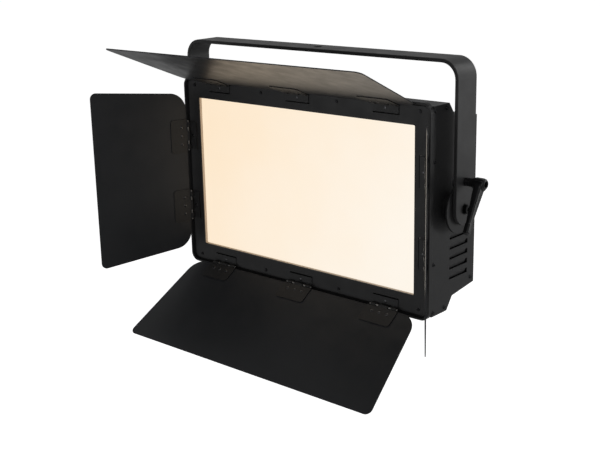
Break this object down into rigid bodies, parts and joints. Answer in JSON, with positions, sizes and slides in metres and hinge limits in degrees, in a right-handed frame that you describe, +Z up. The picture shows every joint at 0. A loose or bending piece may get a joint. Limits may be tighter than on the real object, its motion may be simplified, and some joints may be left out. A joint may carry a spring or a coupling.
{
  "type": "led panel light",
  "caption": "Rectangular studio soft light with four hinged barn doors, a vented sheet-metal housing and a flat-bar yoke with clamping levers.",
  "frame": {"origin": "centre of the yoke's hanging hole on the top face of the bar", "axes": "+Z up, -Y the way the light shines, +X to the right when looking from the front along +Y, along the tilt axis"},
  "size_m": [0.616, 0.2878, 0.4528],
  "materials": {
    "yoke_coat": "satin black powder coat",
    "black_coat": "satin black powder coat",
    "housing_sheet": "aluminium sheet, satin black powder coat",
    "door_sheet": "aluminium sheet, satin black powder coat",
    "bronze": "plain sintered bronze",
    "friction_fibre": "pressed fibre",
    "zinc_steel": "bright zinc plated",
    "black_fastener": "black oxide",
    "pin_steel": "bare bright steel",
    "white_plastic": "matt warm white",
    "opal": "opal diffusing sheet, satin",
    "white_sheet": "matt white reflective lacquer",
    "led_phosphor": "phosphor yellow",
    "bare_aluminium": "mill finish",
    "circuit_board": "green solder mask",
    "dark_plastic": "fine texture",
    "display_window": "smoked gloss",
    "socket_plastic": "fine texture",
    "socket_metal": "dark nickel",
    "handle_nylon": "glass-filled nylon, fine texture",
    "button_rubber": "matt"
  },
  "bodies": {
    "yoke": {"yoke": "yoke_coat", "pivot_bushes": "bronze", "friction_washers": "friction_fibre", "clamp_inserts": "zinc_steel"},
    "head": {"tilt_discs": "black_coat", "pivot_spacers": "black_coat", "pivot_plates": "zinc_steel", "pivot_bolts": "black_fastener", "side_plate_right": "housing_sheet", "side_plate_left": "housing_sheet", "top_cover": "housing_sheet", "bottom_cover": "housing_sheet", "rear_panel": "housing_sheet", "rear_brackets": "zinc_steel", "side_screws": "black_fastener", "rear_screws": "black_fastener", "front_frame": "black_coat", "frame_screws": "black_fastener", "diffuser_seat": "white_plastic", "diffuser": "opal", "light_box": "white_sheet", "led_board": "white_sheet", "led_chips": "led_phosphor", "heat_sink": "bare_aluminium", "light_box_rails": "zinc_steel", "power_supply": "bare_aluminium", "driver_board": "circuit_board", "control_board": "circuit_board", "control_panel": "dark_plastic", "display": "display_window", "power_sockets": "socket_plastic", "data_sockets": "socket_metal", "fuse_holder": "dark_plastic", "safety_loop": "zinc_steel", "frame_leaves": "black_coat", "frame_rivets": "black_fastener", "hinge_pins": "pin_steel"},
    "clamp_right": {"clamp_stud_right": "zinc_steel", "clamp_screw_right": "black_fastener"},
    "handle_right": {"clamp_handle_right": "handle_nylon"},
    "clamp_left": {"clamp_stud_left": "zinc_steel", "clamp_screw_left": "black_fastener"},
    "handle_left": {"clamp_handle_left": "handle_nylon"},
    "door_top": {"door_top": "door_sheet", "door_leaves_top": "black_coat", "door_rivets_top": "black_fastener"},
    "door_bottom": {"door_bottom": "door_sheet", "door_leaves_bottom": "black_coat", "door_rivets_bottom": "black_fastener"},
    "door_left": {"door_left": "door_sheet", "door_leaves_left": "black_coat", "door_rivets_left": "black_fastener"},
    "door_right": {"door_right": "door_sheet", "door_leaves_right": "black_coat", "door_rivets_right": "black_fastener"},
    "button_menu": {"button_menu": "button_rubber"},
    "button_down": {"button_down": "button_rubber"},
    "button_up": {"button_up": "button_rubber"},
    "button_enter": {"button_enter": "button_rubber"}
  },
  "joints": [
    {"name": "tilt", "type": "hinge", "parent": "yoke", "child": "head", "pos_m": [0, 0, -0.2055], "axis": [1, 0, 0], "range_deg": [-10, 95]},
    {"name": "clamp_turn_right", "type": "hinge", "parent": "yoke", "child": "clamp_right", "pos_m": [0.25, 0, -0.1669], "axis": [1, 0, 0], "range_deg": [-10, 90]},
    {"name": "clamp_turn_left", "type": "hinge", "parent": "yoke", "child": "clamp_left", "pos_m": [-0.25, 0, -0.1669], "axis": [1, 0, 0], "range_deg": [-10, 90]},
    {"name": "handle_lift_right", "type": "slide", "parent": "clamp_right", "child": "handle_right", "axis": [1, 0, 0], "range_m": [0, 0.004], "stiffness_N_per_m": 600, "springref_m": -0.002},
    {"name": "handle_lift_left", "type": "slide", "parent": "clamp_left", "child": "handle_left", "axis": [-1, 0, 0], "range_m": [0, 0.004], "stiffness_N_per_m": 600, "springref_m": -0.002},
    {"name": "door_swing_top", "type": "hinge", "parent": "head", "child": "door_top", "pos_m": [0, -0.0534, -0.06125], "axis": [1, 0, 0], "range_deg": [-47, 82]},
    {"name": "door_swing_bottom", "type": "hinge", "parent": "head", "child": "door_bottom", "pos_m": [0, -0.0534, -0.35375], "axis": [-1, 0, 0], "range_deg": [-36, 93]},
    {"name": "door_swing_left", "type": "hinge", "parent": "head", "child": "door_left", "pos_m": [-0.23025, -0.0534, -0.2075], "axis": [0, 0, 1], "range_deg": [-51, 109]},
    {"name": "door_swing_right", "type": "hinge", "parent": "head", "child": "door_right", "pos_m": [0.23025, -0.0534, -0.2075], "axis": [0, 0, -1], "range_deg": [-35.1, 124.9]},
    {"name": "press_menu", "type": "slide", "parent": "head", "child": "button_menu", "axis": [0, -1, 0], "range_m": [0, 0.0012], "stiffness_N_per_m": 300, "springref_m": -0.0004},
    {"name": "press_down", "type": "slide", "parent": "head", "child": "button_down", "axis": [0, -1, 0], "range_m": [0, 0.0012], "stiffness_N_per_m": 300, "springref_m": -0.0004},
    {"name": "press_up", "type": "slide", "parent": "head", "child": "button_up", "axis": [0, -1, 0], "range_m": [0, 0.0012], "stiffness_N_per_m": 300, "springref_m": -0.0004},
    {"name": "press_enter", "type": "slide", "parent": "head", "child": "button_enter", "axis": [0, -1, 0], "range_m": [0, 0.0012], "stiffness_N_per_m": 300, "springref_m": -0.0004}
  ]
}
